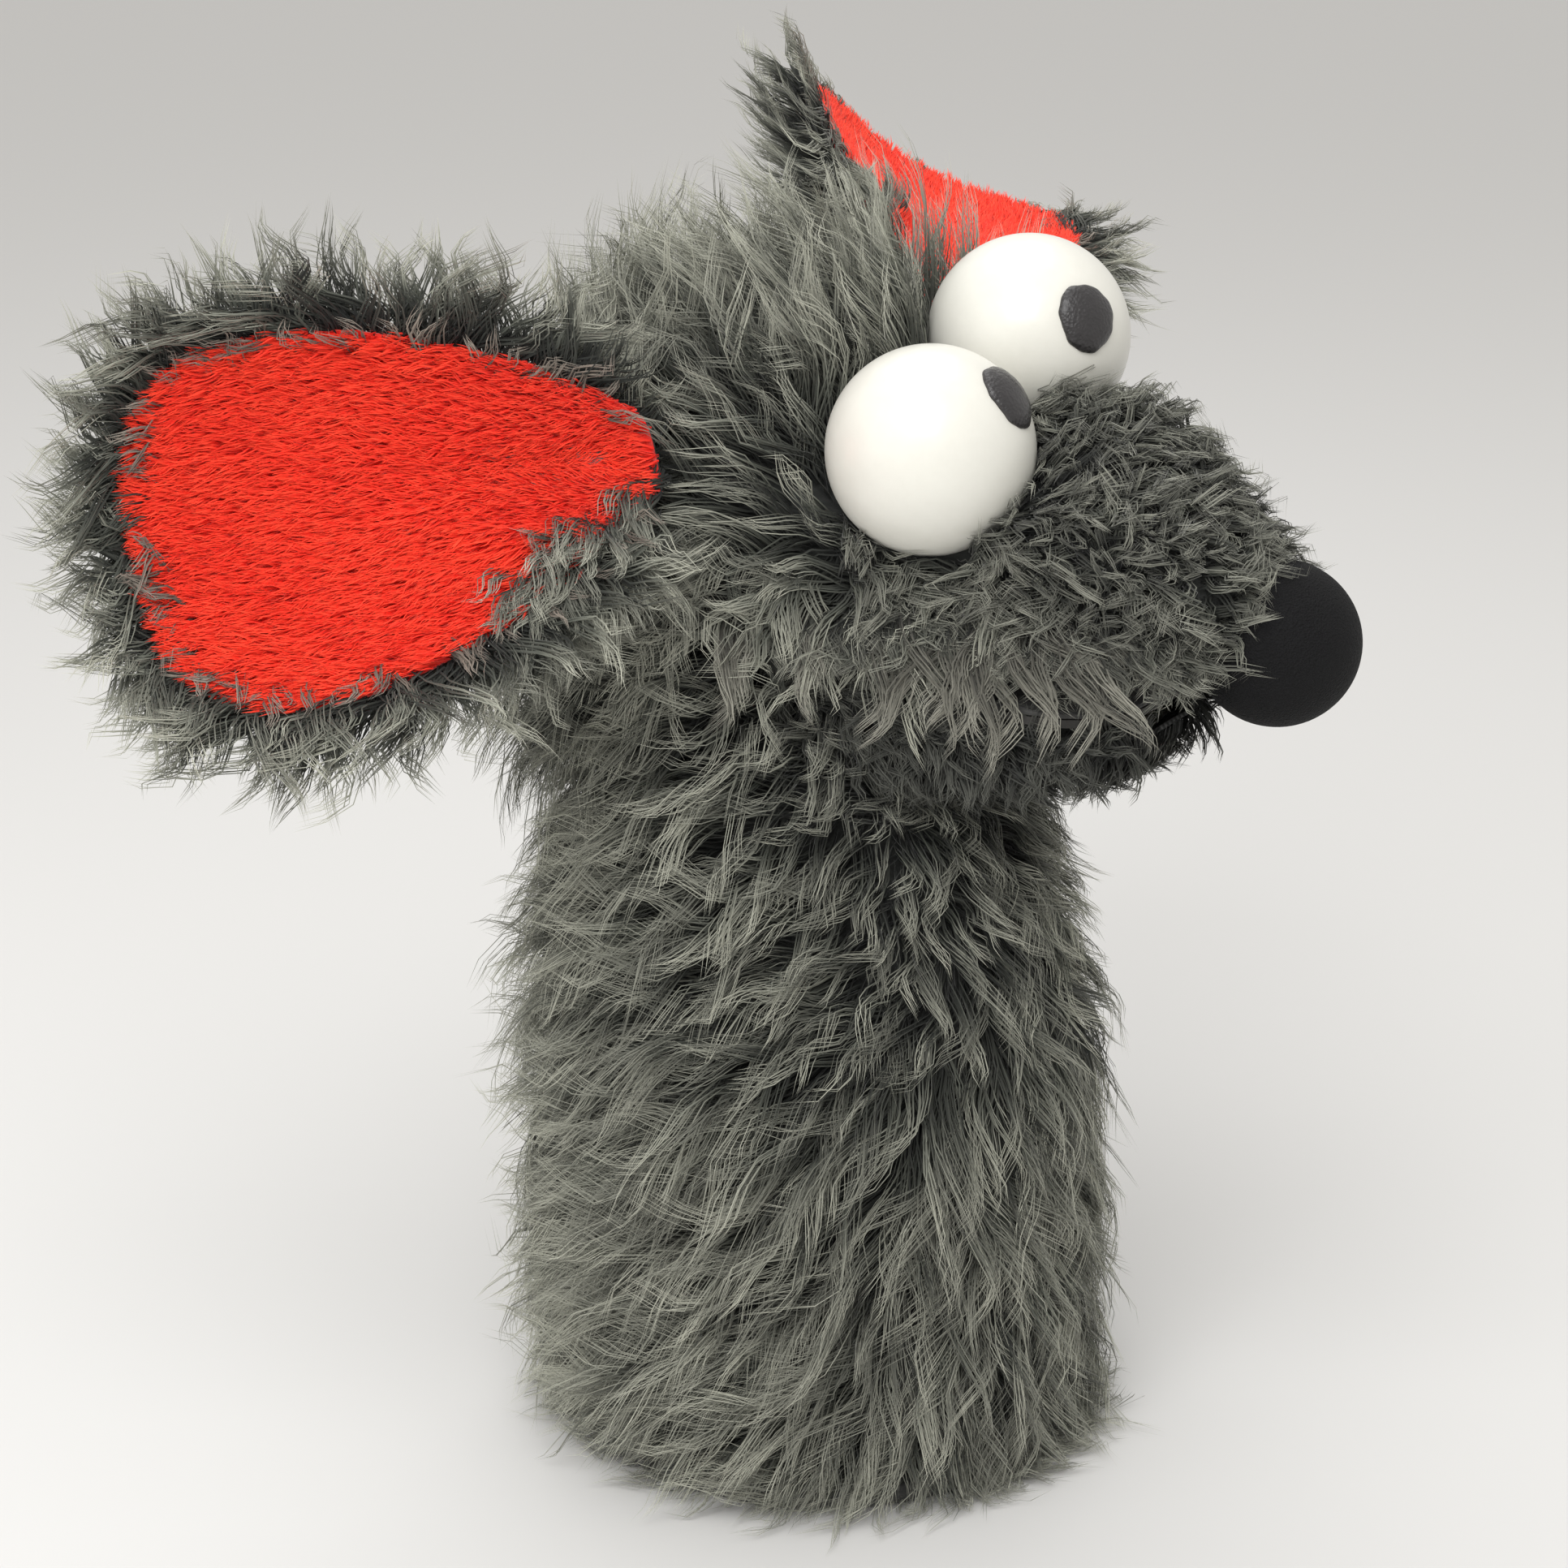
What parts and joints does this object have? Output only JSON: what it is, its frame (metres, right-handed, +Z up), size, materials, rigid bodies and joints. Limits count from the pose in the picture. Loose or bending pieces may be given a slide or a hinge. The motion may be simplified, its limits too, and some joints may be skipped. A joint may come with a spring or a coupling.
{
  "type": "moving-mouth hand puppet",
  "caption": "Shaggy grey animal hand puppet on an open fur sleeve, with a foam-filled snout, a hinged mouth, ball eyes, a black nose and red cupped ears.",
  "frame": {"origin": "middle of the whole puppet's box, on the plane that the sleeve stands on", "axes": "+Z up, -Y the way the snout points, +X the puppet's own left"},
  "size_m": [0.3494, 0.256, 0.3379],
  "materials": {
    "long_fur": "long shaggy grey pile, matte",
    "short_fur": "short curly grey pile, matte",
    "red_plush": "short red plush, matte",
    "lining": "plain woven lining, matte",
    "felt": "stiff grey felt, matte",
    "foam": "soft open-cell foam, matte",
    "board": "grey-brown pressed board, matte",
    "eye_white": "smooth satin off-white ball",
    "pupil_black": "slightly glossy black paint-like dome",
    "nose_black": "fine-grained black foam, matte",
    "peg": "plain birch dowel"
  },
  "bodies": {
    "sleeve": {"sleeve_fur": "long_fur", "sleeve_lining": "lining", "sleeve_hem": "lining"},
    "neck": {"neck_fur": "long_fur", "neck_lining": "lining"},
    "head": {"head_fur": "long_fur", "head_foam": "foam", "muzzle_fur": "short_fur", "muzzle_foam": "foam", "upper_mouth_lining": "lining", "upper_mouth_plate": "board", "finger_pocket": "lining", "mouth_hinge_tape": "lining", "eye_ball_right": "eye_white", "eye_ball_left": "eye_white", "pupil_right": "pupil_black", "pupil_left": "pupil_black", "eye_peg_right": "peg", "eye_peg_left": "peg", "nose_ball": "nose_black", "nose_peg": "peg"},
    "jaw": {"jaw_fur": "short_fur", "jaw_foam": "foam", "lower_mouth_lining": "lining", "lower_mouth_plate": "board", "thumb_pocket": "lining"},
    "ear_right": {"ear_plush_right": "red_plush", "ear_felt_right": "felt", "ear_fur_right": "long_fur"},
    "ear_left": {"ear_plush_left": "red_plush", "ear_felt_left": "felt", "ear_fur_left": "long_fur"}
  },
  "joints": [
    {"name": "head_tilt", "type": "hinge", "parent": "sleeve", "child": "neck", "pos_m": [-0.0124, 0.014, 0.148], "axis": [0, 1, 0], "range_deg": [-20, 20]},
    {"name": "head_nod", "type": "hinge", "parent": "neck", "child": "head", "pos_m": [-0.0124, 0.014, 0.163], "axis": [-1, 0, 0], "range_deg": [-12, 18], "deforming": ["neck_fur", "neck_lining"]},
    {"name": "jaw_open", "type": "hinge", "parent": "head", "child": "jaw", "pos_m": [-0.0124, 0.014, 0.223], "axis": [1, 0, 0], "range_deg": [-3, 30], "deforming": ["mouth_hinge_tape"]},
    {"name": "ear_right_flop", "type": "hinge", "parent": "head", "child": "ear_right", "pos_m": [-0.0794, 0.022, 0.274], "axis": [-0.1593, -0.3535, -0.9218], "range_deg": [-10, 10]},
    {"name": "ear_left_flop", "type": "hinge", "parent": "head", "child": "ear_left", "pos_m": [0.0496, 0.019, 0.291], "axis": [-0.4984, 0.7246, 0.4759], "range_deg": [-10, 15]}
  ]
}
